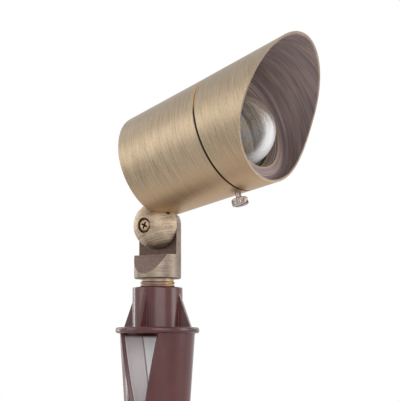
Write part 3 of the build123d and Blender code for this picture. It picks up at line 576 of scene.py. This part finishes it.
# %% The raw relief and the painted shade on the flat under the arm
POST_GREY = screen(74, 70, 72)
RELIEF_FACING = (0.0, -0.843, 0.538)
RAW_LIGHT = screen(146, 126, 116)
RAW_DARK = screen(90, 74, 72)
CHEEK_FOOT = 47.4
CHEEK_PAINTED_SHADE = screen(60, 46, 42)
CHEEK_PAINTED_SHADE_LIGHT = screen(96, 78, 70)


def painted_shade_flat(brass):
    """1 on the flat that the arm covers, above the ledge and away from its edges, where shade is painted.
    """
    faces_arm = brass.dot(brass.facing, -WORLD_Y).between(0.9, 0.99)
    flat = faces_arm * brass.along.between(CHEEK_FOOT - 0.5, CHEEK_FOOT)
    return flat * (1 - brass.worn_edges(0.5).between(0.02, 0.15))


def weathered_and_shaded(brass, relief, pits):
    """Greyed brass with its raw relief, and painted shade on the flat under the arm."""
    raw = brass.ramp(pits.between(0.32, 0.68), (0.0, RAW_DARK), (1.0, RAW_LIGHT))
    colour = brass.blend(relief * 0.9, brass.blend(0.55, brass.colour, POST_GREY), raw)
    # painted shade: deep brown on the flat under the arm
    cheek_shade = brass.blend(pits.between(0.4, 0.7), CHEEK_PAINTED_SHADE, CHEEK_PAINTED_SHADE_LIGHT)
    return brass.blend(painted_shade_flat(brass) * 0.9, colour, cheek_shade)


# the flat under the arm is where the painted shade goes
print("the sheltered flat starts", CHEEK_FOOT, "mm above the ground line")

# %% The thread and the whole post
THREAD_TOP = 33.0
THREAD_BROWN = screen(162, 140, 126)
GLINT_SIDE_X, GLINT_SIDE_Y = 0.81, 0.58


def thread_colour(brass):
    """Brown, with flecks of gold as painted glints on the side towards the camera's right."""
    specks = brass.noise(brass.place, scale=0.7, detail=3.0, roughness=0.7).between(0.42, 0.50)
    # painted glints: the gold flecks only show on the side that faces the camera's right
    towards_glint_side = brass.side * GLINT_SIDE_Y - brass.rise * GLINT_SIDE_X
    return brass.blend(specks * towards_glint_side.between(4, 6), THREAD_BROWN, EDGE_GOLD)


def post_finish():
    brass = CastFinish("cast_brass_post", (0, 0, 0), WORLD_Z, WORLD_Y, rough=0.42)
    relief = brass.dot(brass.facing, RELIEF_FACING).between(0.96, 0.99)
    pits = brass.noise(brass.place, scale=1.3, detail=5.0, roughness=0.75)
    thread = 1 - brass.along.between(THREAD_TOP - 0.2, THREAD_TOP)
    edges = brass.worn_edges(0.4).between(0.03, 0.2) * (1 - thread)
    colour = brass.blend(thread, weathered_and_shaded(brass, relief, pits), thread_colour(brass))
    colour = brass.blend(edges * 0.7, colour, EDGE_GOLD)
    rough = brass.rough + relief * 0.15
    height = brass.fine * (1 - relief) + brass.sand * 0.6 + pits * relief * 3.0
    normal = brass.dents(height, SCRATCH_DEPTH)
    return brass.surface(Base_Color=colour, Metallic=1.0, Roughness=rough, Normal=normal)


dress("knuckle_post", post_finish())

# %% [markdown]
# ## Screws, nut and ring of turned brass
# The small turned parts are the smoothest brass on the lamp. What makes a screw look like a
# screw is its darkening: on the pivot screw painted shade darkens the cross and the foot of
# the head, and the crown stays clean. The others carry grime in small patches. The ring that
# holds the lens from behind gets dark tones as painted shade, like everything back there.

# %% Turned brass with grime and painted shade
BRIGHT_BRASS = screen(206, 176, 122)
DULL_BRASS = screen(150, 126, 92)
GRIME_AND_SHADE_COLOUR = screen(40, 32, 28)


def grime_patches(brass):
    """Dirt in small patches anywhere."""
    return brass.noise(brass.place, scale=0.8, detail=4.0, roughness=0.7).between(0.66, 0.8)


def turned_brass(name, start, axis, beside, tones=(DULL_BRASS, BRIGHT_BRASS), grime_and_shade=grime_patches):
    """Turned brass from a dull to a bright tone; the darkening mask gives 1 where grime patches go and
    where shade is painted in recesses.
    """
    brass = Finish(name, start, axis, beside)
    flat = abs(brass.faces_along).between(0.6, 0.8)
    fine = brass.where(flat, brass.face_lines(0.18), brass.round_lines(0.18))
    cloud = brass.noise(brass.place, scale=0.5, detail=3.0)
    tone = (fine * 0.5 + cloud * 0.6).between(0.38, 0.75)
    darkened = grime_and_shade(brass)
    # darkens with grime patches, and on the pivot screw with painted shade in its recesses
    colour = brass.blend(darkened, brass.ramp(tone, (0.0, tones[0]), (1.0, tones[1])), GRIME_AND_SHADE_COLOUR)
    rough = 0.26 + darkened * 0.4
    return brass.surface(Base_Color=colour, Metallic=1.0, Roughness=rough, Normal=brass.dents(fine, 0.008))


print("turned brass from", [round(c, 2) for c in DULL_BRASS], "to", [round(c, 2) for c in BRIGHT_BRASS])

# %% The two screws that the eye sees
PIVOT_TONES = (screen(104, 86, 70), screen(150, 128, 104))
THUMB_TONES = (screen(124, 110, 104), screen(188, 174, 164))
THUMB_PLACE = Vector(joints["thumb_screw_turn"]["pos_m"])
CROSS_RADIUS = 2.3
CROSS_DEPTH = -12.6
HEAD_FOOT = -11.2


def pivot_recess_shade(brass):
    """Painted shade in the cross recess and where the head meets its seat."""
    off_cross = brass.spread.between(CROSS_RADIUS, CROSS_RADIUS + 0.3)
    in_cross = (1 - off_cross) * brass.along.between(CROSS_DEPTH - 0.5, CROSS_DEPTH)
    at_seat = brass.along.between(HEAD_FOOT, HEAD_FOOT + 0.4)
    return in_cross + at_seat - in_cross * at_seat


pivot_brass = turned_brass("turned_brass_pivot", PIVOT, WORLD_Y, WORLD_X, PIVOT_TONES, pivot_recess_shade)
dress("pivot_screw", pivot_brass)
dress("thumb_screw", turned_brass("turned_brass_thumb", THUMB_PLACE, -ABOVE, ACROSS, THUMB_TONES))

# %% The nut, the lens ring and the socket's brass
BEHIND_PAINTED_SHADE_TONES = (BEHIND_PAINTED_SHADE_DARK, BEHIND_PAINTED_SHADE_LIGHT)
dress("pivot_nut", turned_brass("turned_brass_nut", PIVOT, WORLD_Y, WORLD_X))
# the lens ring gets the dark tones of painted shade
dress("lens_ring", turned_brass("turned_brass_ring", AXIS_START, ALONG, ACROSS, BEHIND_PAINTED_SHADE_TONES))
for part in ("rivets", "contacts"):
    dress("socket_" + part, turned_brass("turned_brass_" + part, AXIS_START, ALONG, ACROSS))

# %% [markdown]
# ## The stake's glossy brown plastic
# Injection moulding gives three things to look for: a gloss that is almost but not quite
# even, faint flow marks that run down from the gate, and small round marks where the pins
# pushed the moulding out. The colour hardly changes, so the gloss does most of the work.
# The inside of the spike is painted near white, a painted reflection, browner outside the
# line where the two halves of the mould met. Far down, soil has scuffed the outside.

# %% The moulding's colour and scuffs
PLASTIC = screen(82, 37, 36)
PLASTIC_DEEP = screen(70, 30, 30)
SCUFF = screen(150, 118, 110)
SCUFFED_FROM, UNSCUFFED_FROM = -120, -20


def plastic_scuffs(plastic):
    """1 in long thin scuffs that run down the spike, and 0 near the ground line and above it."""
    stretched = plastic.point(plastic.along * 0.35, plastic.side * 2.5, plastic.rise * 2.5)
    scuffs = plastic.noise(stretched, scale=1.0, detail=4.0, roughness=0.7).between(0.62, 0.75)
    return scuffs * (1 - plastic.along.between(SCUFFED_FROM, UNSCUFFED_FROM))


def plastic_colour(plastic, ripple, scuffed):
    """Brown with faint flow marks, paler where it is scuffed."""
    stretched = plastic.point(plastic.along * 0.02, plastic.side * 0.12, plastic.rise * 0.12)
    flow = plastic.noise(stretched, scale=1.0, detail=3.0, roughness=0.55)
    tone = (flow * 0.7 + ripple * 0.3).between(0.3, 0.7)
    colour = plastic.ramp(tone, (0.0, PLASTIC_DEEP), (1.0, PLASTIC))
    return plastic.blend(scuffed * 0.25, colour, SCUFF)


print("scuffs grow from", -UNSCUFFED_FROM, "to", -SCUFFED_FROM, "mm under the ground line")

# %% The painted reflection inside the spike
INNER_PAINTED_REFLECTION = screen(252, 252, 252)
INNER_PAINTED_REFLECTION_BROWN = screen(222, 214, 215)
SPIKE_BORE_RADIUS = 20.0
SPIKE_TAPER = 0.068
BORE_END = -150.0
MOULD_LINE = 18.1
MOULD_LINE_SLOPE = 0.108


def inside_spike(plastic):
    """1 on the wall of the spike's tapering bore, under the flange and above the solid tip."""
    inwards = SPIKE_BORE_RADIUS + plastic.along * SPIKE_TAPER - plastic.spread
    under_flange = 1 - plastic.along.between(-3, -1)
    return inwards.between(-0.6, -0.2) * under_flange * plastic.along.between(BORE_END - 1, BORE_END)


def inner_painted_reflection(plastic):
    """A painted reflection: white between the two mould lines, and browner outside them."""
    line = MOULD_LINE + plastic.along * MOULD_LINE_SLOPE
    past_line = (abs(plastic.rise) - line).between(-0.1, 0.1)
    return plastic.blend(past_line, INNER_PAINTED_REFLECTION, INNER_PAINTED_REFLECTION_BROWN)


# the painted reflection reaches down to the end of the bore
print("bloom down to", -BORE_END, "mm under the ground line")

# %% The stake with its pin mark
PIN_MARK = Vector((21.5, -5.6, -9.0))     # x, y and z in millimetres
PIN_MARK_RADIUS = 1.6


def pin_mark(plastic):
    """The mark of an ejector pin: a raised ring round a shallow pit."""
    centre = (PIN_MARK.z, PIN_MARK.y, -PIN_MARK.x)
    away = plastic.distance(plastic.place, centre)
    return away.near(PIN_MARK_RADIUS, 0.35) - (1 - away.between(1.2, 1.5)) * 0.5


def stake_finish():
    plastic = Finish("glossy_moulded_plastic")
    ripple = plastic.noise(plastic.place, scale=0.12, detail=2.0)
    skin = plastic.noise(plastic.place, scale=3.0, detail=3.0)
    scuffed = plastic_scuffs(plastic)
    inner = inside_spike(plastic)
    # the bore's wall gets a painted reflection in place of the brown
    colour = plastic.blend(inner, plastic_colour(plastic, ripple, scuffed), inner_painted_reflection(plastic))
    rough = 0.20 + skin * 0.06 + scuffed * 0.25 + inner * 0.3
    height = ripple * 2.2 + skin * 0.12 + pin_mark(plastic) * 2.0
    normal = plastic.dents(height, 0.04, round_edges=0.6)
    return plastic.surface(Base_Color=colour, Roughness=rough, IOR=1.5, Normal=normal)


dress("ground_stake", stake_finish())

# %% [markdown]
# ## Glass
# A real glass shader bends light through both faces, which is slow and noisy, and a baked
# model can't hold it. Thin glass can be shown more simply: a surface that is nearly all
# see-through, with a mirror over it that grows stronger at a slant. Waves and haze come from
# slow noise, since a smooth mathematical surface would look like plastic.

# %% Cover glass and capsule
CLEAR_GLASS = (0.98, 0.99, 0.99)


def glass_haze(glass):
    """Above 0 in the patches where a thin film dulls the gloss."""
    return glass.noise(glass.place, scale=0.4, detail=3.0).between(0.55, 0.8)


def clear_glass(name, tint, waves, depth):
    """Thin glass: see-through, with a mirror-like gloss where it is seen at a slant."""
    glass = HeadFinish(name)
    height = glass.noise(glass.place, scale=waves, detail=2.0)
    haze = glass_haze(glass)
    film = haze * 0.05
    alpha = 0.06 + haze * 0.06
    normal = glass.dents(height, depth)
    colour = glass.blend(height, tint, CLEAR_GLASS)
    clear = glass.shader(Base_Color=colour, Roughness=0.04 + film, Alpha=alpha, Normal=normal)
    mirror = glass.shader(Base_Color=colour, Metallic=1.0, Roughness=0.05 + film, Normal=normal)
    gloss = glass.node("Fresnel", {}, {"IOR": 1.5})
    return glass.shown(glass.blend_shaders(gloss * 0.9, clear, mirror))


dress("lamp_cover_glass", clear_glass("flat_cover_glass", screen(250, 249, 246), waves=0.05, depth=0.004))
dress("lamp_capsule", clear_glass("quartz_capsule", screen(244, 244, 248), waves=0.3, depth=0.03))

# %% [markdown]
# ## The pressed lens
# The domed lens is pressed glass. Its coated outside mirrors the white room at a slant, and
# low on the dome a white crescent is painted on, a painted reflection of a bright panel. In
# between, a faint mottle of warm and cool tints hints at the lamp behind it. Three shaders
# are mixed by masks: the clear one, the mirror over it, and the painted crescent over both.

# %% The lens
LENS_WARM = screen(252, 246, 236)
LENS_COOL = screen(250, 249, 247)
LENS_PAINTED_CRESCENT = screen(228, 228, 228)
CRESCENT_DARKER = (0.68, 0.68, 0.69)
MOTTLE = ((0.3, screen(222, 196, 166)), (0.5, screen(234, 218, 200)), (0.7, screen(186, 196, 210)))


def lens_finish():
    """Pressed glass: its coated outside mirrors the room, and low on the dome a white crescent is a
    painted reflection.
    """
    glass = HeadFinish("pressed_lens_glass")
    waves = glass.noise(glass.place, scale=0.06, detail=2.0)
    cloud = glass.noise(glass.place, scale=0.16, detail=3.0)
    normal = glass.dents(waves, 0.006)
    tint = glass.blend(waves, LENS_WARM, LENS_COOL)
    gloss = 0.12 + glass_haze(glass) * 0.05
    mottle = glass.ramp(cloud, *MOTTLE)
    white = glass.blend(cloud, LENS_PAINTED_CRESCENT, CRESCENT_DARKER)
    clear = glass.shader(Base_Color=mottle, Roughness=0.12, Alpha=0.03 + cloud * 0.11, Normal=normal)
    mirror = glass.shader(Base_Color=tint, Metallic=1.0, Roughness=gloss, Normal=normal)
    painted_crescent = glass.shader(Base_Color=white, Roughness=0.35, Normal=normal)
    slant = glass.node("LayerWeight", {}, {"Blend": 0.5}, output="Facing")
    dome = glass.along.between(LENS_FOOT, LENS_FOOT + 1)
    outside = glass.blend_shaders(slant.between(0.36, 0.72) * 0.85 * dome, clear, mirror)
    # a painted reflection: a white crescent low on the dome, where a bright panel would reflect
    low = (1 - glass.rise.between(-14, 6)) * slant.between(0.25, 0.6) * dome
    return glass.shown(glass.blend_shaders(low * 0.9, outside, painted_crescent))


dress("lens", lens_finish())

# %% [markdown]
# ## The lamp's coated bowl
# Behind the lens stands a glass bowl whose inside carries a thin mirror coat in small
# facets. The coat lets part of the warm light through, so the bowl looks like pale tinted
# glass more than like a mirror. A Voronoi texture gives the facets: it measures the distance
# to the nearest of many scattered points, which is what a field of shallow dimples needs.

# %% The bowl
FACETS_PER_MM = 0.32
COAT = ((0.30, screen(236, 204, 170)), (0.5, screen(240, 222, 200)), (0.70, screen(206, 204, 208)))


def bowl_finish():
    bowl = HeadFinish("coated_reflector_bowl")
    scattered = {"Vector": bowl.place, "Scale": FACETS_PER_MM}
    facets = bowl.node("TexVoronoi", {"feature": "F1"}, scattered, output="Distance")
    cloud = bowl.noise(bowl.place, scale=0.14, detail=3.0)
    colour = bowl.ramp(cloud, *COAT)
    rough = 0.28 + facets * 0.10
    return bowl.surface(Base_Color=colour, Metallic=0.25, Roughness=rough, Normal=bowl.dents(facets, 0.03))


dress("lamp_reflector", bowl_finish())

# %% [markdown]
# ## Rubber, steel and ceramic
# The rest is small and mostly hidden, but a part is taken apart sooner or later. Rubber is
# dark and dull with a bloom of dust, steel is drawn in one direction, and ceramic is white
# with fine specks and a dry surface.

# %% Rubber seals
RUBBER_BLACK = screen(30, 30, 32)
RUBBER_DUST = screen(62, 60, 58)


def rubber(name):
    seal = Finish(name)
    dust = seal.noise(seal.place, scale=0.5, detail=4.0, roughness=0.7)
    colour = seal.blend(dust.between(0.45, 0.8), RUBBER_BLACK, RUBBER_DUST)
    return seal.surface(Base_Color=colour, Roughness=0.55 + dust * 0.25, Normal=seal.dents(dust, 0.03))


for name in ("knuckle_seal", "lead_grommet", "lens_gasket", "shroud_seal"):
    dress(name, rubber("dusty_rubber_" + name))

# %% Drawn steel
STEEL_DARK = screen(142, 142, 140)
STEEL_LIGHT = screen(186, 186, 182)
STEEL_SPOT = screen(120, 110, 98)


def steel(name, start, axis, beside):
    metal = Finish(name, start, axis, beside)
    stretched = metal.point(metal.along * 4.0, metal.side * 0.1, metal.rise * 4.0)
    drawn = metal.noise(stretched, scale=1.0, detail=3.0)
    spots = metal.noise(metal.place, scale=0.7, detail=4.0, roughness=0.7).between(0.6, 0.8)
    colour = metal.blend(spots * 0.4, metal.blend(drawn, STEEL_DARK, STEEL_LIGHT), STEEL_SPOT)
    rough = 0.30 + drawn * 0.12
    return metal.surface(Base_Color=colour, Metallic=1.0, Roughness=rough, Normal=metal.dents(drawn, 0.01))


dress("pivot_washer", steel("drawn_steel_washer", PIVOT, WORLD_Y, WORLD_X))
for name in ("lamp_bracket", "bracket_screws", "lamp_pins"):
    dress(name, steel("drawn_steel_" + name, AXIS_START, ALONG, ACROSS))

# %% Dry ceramic
CERAMIC = ((0.3, screen(206, 200, 186)), (0.6, screen(232, 228, 216)), (0.8, screen(240, 238, 230)))


def ceramic(name):
    clay = HeadFinish(name)
    specks = clay.noise(clay.place, scale=1.4, detail=4.0, roughness=0.7)
    colour = clay.ramp(specks, *CERAMIC)
    rough = 0.55 + specks * 0.2
    return clay.surface(Base_Color=colour, Roughness=rough, Normal=clay.dents(specks, 0.05))


for name in ("lamp_socket", "lamp_base"):
    dress(name, ceramic("dry_ceramic_" + name))
print("dressed", len(dressed), "of", len(pieces), "- left over:", sorted(set(pieces) - set(dressed)))

# %% [markdown]
# ## The studio
# The picture was taken from a little below the lamp, against white paper. The room is that
# paper: white is what the camera, the metal and the glass see of it. For the soft light that
# falls on everything else the world is a little dimmer, so that a colour comes out about as
# it was written. A Light Path node tells the two cases apart.

# %% The white room
WHITE = (1, 1, 1)
SURROUND_LIGHT = 0.75


def studio_world():
    world = bpy.data.worlds.new("paper_white_room")
    world.use_nodes = True
    bpy.context.scene.world = world
    room = Palette(world.node_tree)
    looks = room.seen_by("Camera") + room.seen_by("Glossy") + room.seen_by("Transmission")
    paper = room.node("Background", {}, {"Color": WHITE, "Strength": 1.0})
    soft = room.node("Background", {}, {"Color": WHITE, "Strength": SURROUND_LIGHT})
    room.node("OutputWorld", {}, {"Surface": room.blend_shaders(looks.between(0, 1), soft, paper)})


studio_world()
print("the room is white to look at, and lights at", SURROUND_LIGHT)

# %% [markdown]
# ## The floor
# The floor is a pale disc that carries the shadow. Far from the lamp it fades into a white
# that shines by itself, so it meets the paper with no horizon. Metal mirrors the floor too,
# and what it sees has one even share of that white, near and far, so that no bright ring
# shows in the brass.

# %% A paper disc that fades to white
FLOOR_RADIUS = 6.0
FLOOR_SIDES = 96
FADE_FROM, FADE_TO = 0.25, 1.1     # metres from the stake
FLOOR_SHINE = 0.28
PAPER_DARK = (0.80, 0.80, 0.80)
PAPER_LIGHT = (0.84, 0.84, 0.84)


def floor_finish():
    paper = Finish("paper_floor")
    grain = paper.noise(paper.place, scale=0.8, detail=3.0)
    shade = paper.blend(grain, PAPER_DARK, PAPER_LIGHT)
    pale = paper.shader(Base_Color=shade, Roughness=1.0, Specular_IOR_Level=0.0)
    white = paper.node("Emission", {}, {"Color": WHITE, "Strength": 1.0})
    mirrored = paper.seen_by("Glossy")
    fade = (paper.spread * MM).between(FADE_FROM, FADE_TO)
    return paper.shown(paper.blend_shaders(fade * (1 - mirrored) + mirrored * FLOOR_SHINE, pale, white))


def studio_floor(level):
    mesh = bpy.data.meshes.new("paper_floor")
    disc = bmesh.new()
    bmesh.ops.create_circle(disc, cap_ends=True, cap_tris=True, radius=FLOOR_RADIUS, segments=FLOOR_SIDES)
    bmesh.ops.translate(disc, verts=disc.verts, vec=(0, 0, level))
    disc.to_mesh(mesh)
    disc.free()
    floor = bpy.data.objects.new("paper_floor", mesh)
    bpy.context.scene.collection.objects.link(floor)
    mesh.materials.append(floor_finish())


floor_level = solid_box[0][2]
studio_floor(floor_level)
print("floor at", round(floor_level / MM, 1), "mm")

# %% [markdown]
# ## Soft lights
# Each light is a panel that faces the knuckle, at an angle counted round from the camera. A
# tall, narrow and very bright one stands behind on the left and draws the long white streak
# down the side of the stake. A broad one on the left and one in front show the form, one on
# the right gives the far edge its light, and a small one behind it lifts the rim.

# %% Five panels
CAMERA_TURN = 35.6
CAMERA_AZIMUTH = CAMERA_TURN - 90     # the lamp's side faces azimuth -90


def away_from_knuckle(turn, lift):
    """The direction that lies turn degrees round from the camera and lift degrees above level."""
    azimuth = radians(CAMERA_AZIMUTH + turn)
    elevation = radians(lift)
    return Vector((cos(azimuth) * cos(elevation), sin(azimuth) * cos(elevation), sin(elevation)))


def soft_panel(name, turn, lift, distance, width, height, brightness):
    """A panel whose face shines at a given brightness, where 1 is paper white."""
    light = bpy.data.lights.new(name, "AREA")
    light.shape = "RECTANGLE"
    light.size = width
    light.size_y = height
    light.energy = brightness * pi * width * height
    away = away_from_knuckle(turn, lift)
    facing = away.to_track_quat("Z", "Y").to_matrix().to_4x4()
    panel = bpy.data.objects.new(name, light)
    panel.matrix_world = Matrix.Translation(PIVOT + away * distance) @ facing
    panel.visible_camera = False
    bpy.context.scene.collection.objects.link(panel)
    print(name, "gives", round(light.energy, 2), "W")


soft_panel("left_strip", turn=-132, lift=8, distance=1.3, width=0.16, height=1.2, brightness=6.0)
soft_panel("left_panel", turn=-76, lift=14, distance=1.3, width=0.70, height=0.8, brightness=1.9)
soft_panel("front_panel", turn=14, lift=12, distance=1.5, width=1.30, height=0.8, brightness=2.5)
soft_panel("right_strip", turn=82, lift=12, distance=1.4, width=0.60, height=0.8, brightness=3.6)
soft_panel("rim_panel", turn=136, lift=20, distance=1.5, width=0.35, height=0.5, brightness=2.4)

# %% [markdown]
# ## The camera
# The camera stands 1 m away, 35.6 degrees round from the side and 5.6 degrees below level,
# as worked out from the thread, the seam and the mouth of the hood in the picture. It is
# turned by three directions of its own and then moved a little right and up, because the
# lamp isn't at the middle of the picture.

# %% Aim and move the camera
CAMERA_LIFT = -5.6
CAMERA_DISTANCE = 1.0
CAMERA_FOCAL_LENGTH = 147.6
SENSOR_WIDTH = 36.0
AIM = Vector((0, 0, 0.0655))
SHIFT_RIGHT = 0.02579
SHIFT_UP = 0.0153
NEAREST, FARTHEST = 0.05, 50.0

turn = radians(CAMERA_TURN)
lift = radians(CAMERA_LIFT)
right = Vector((cos(turn), sin(turn), 0))
towards = Vector((sin(turn) * cos(lift), -cos(turn) * cos(lift), sin(lift)))
up = towards.cross(right)
spot = AIM + towards * CAMERA_DISTANCE + right * SHIFT_RIGHT + up * SHIFT_UP
camera = bpy.data.objects.new("camera", bpy.data.cameras.new("camera"))
camera.data.sensor_fit = "HORIZONTAL"
camera.data.sensor_width = SENSOR_WIDTH
camera.data.lens = CAMERA_FOCAL_LENGTH
camera.data.clip_start = NEAREST
camera.data.clip_end = FARTHEST
camera.matrix_world = Matrix.Translation(spot) @ Matrix((right, up, towards)).transposed().to_4x4()
bpy.context.scene.collection.objects.link(camera)
bpy.context.scene.camera = camera
bpy.context.scene.view_settings.view_transform = "Standard"
print("camera at", [round(c, 3) for c in spot])
